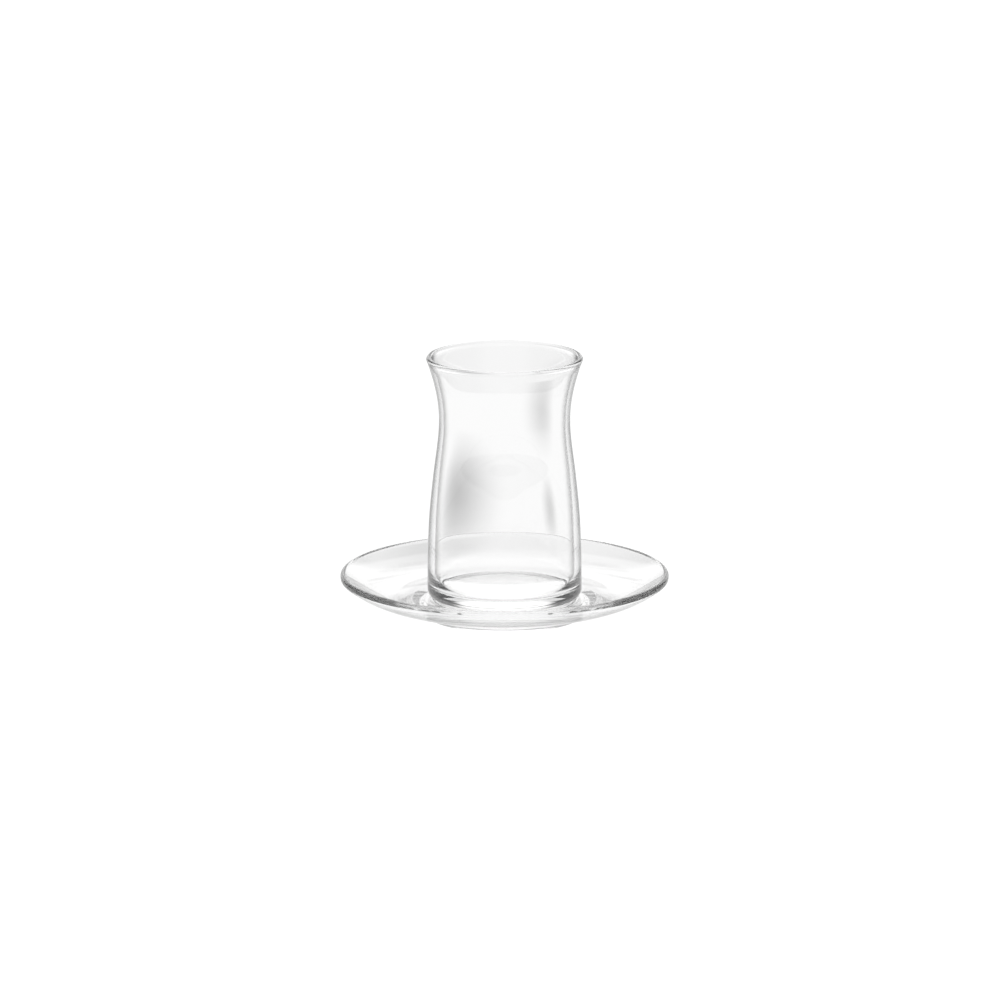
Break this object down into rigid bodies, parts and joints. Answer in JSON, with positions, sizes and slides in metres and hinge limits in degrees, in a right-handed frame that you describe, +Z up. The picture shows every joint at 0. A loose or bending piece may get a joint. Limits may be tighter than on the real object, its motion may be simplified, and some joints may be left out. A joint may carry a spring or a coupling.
{
  "type": "tea glass with saucer",
  "caption": "Clear waisted tea glass, empty and without a handle, standing in the flat well of a round glass saucer with a turned-up dish and a foot ring.",
  "frame": {"origin": "on the table, under the middle of the saucer's foot ring, where the turning axis of both pieces meets it", "axes": "+Z up along the turning axis of the glass and the saucer; X and Y are level and alike"},
  "size_m": [0.11, 0.11, 0.0883],
  "materials": {
    "tea_glass_clear": "clear, polished",
    "saucer_clear": "clear, polished"
  },
  "bodies": {
    "root": {"tea_glass": "tea_glass_clear", "saucer": "saucer_clear"}
  },
  "joints": []
}
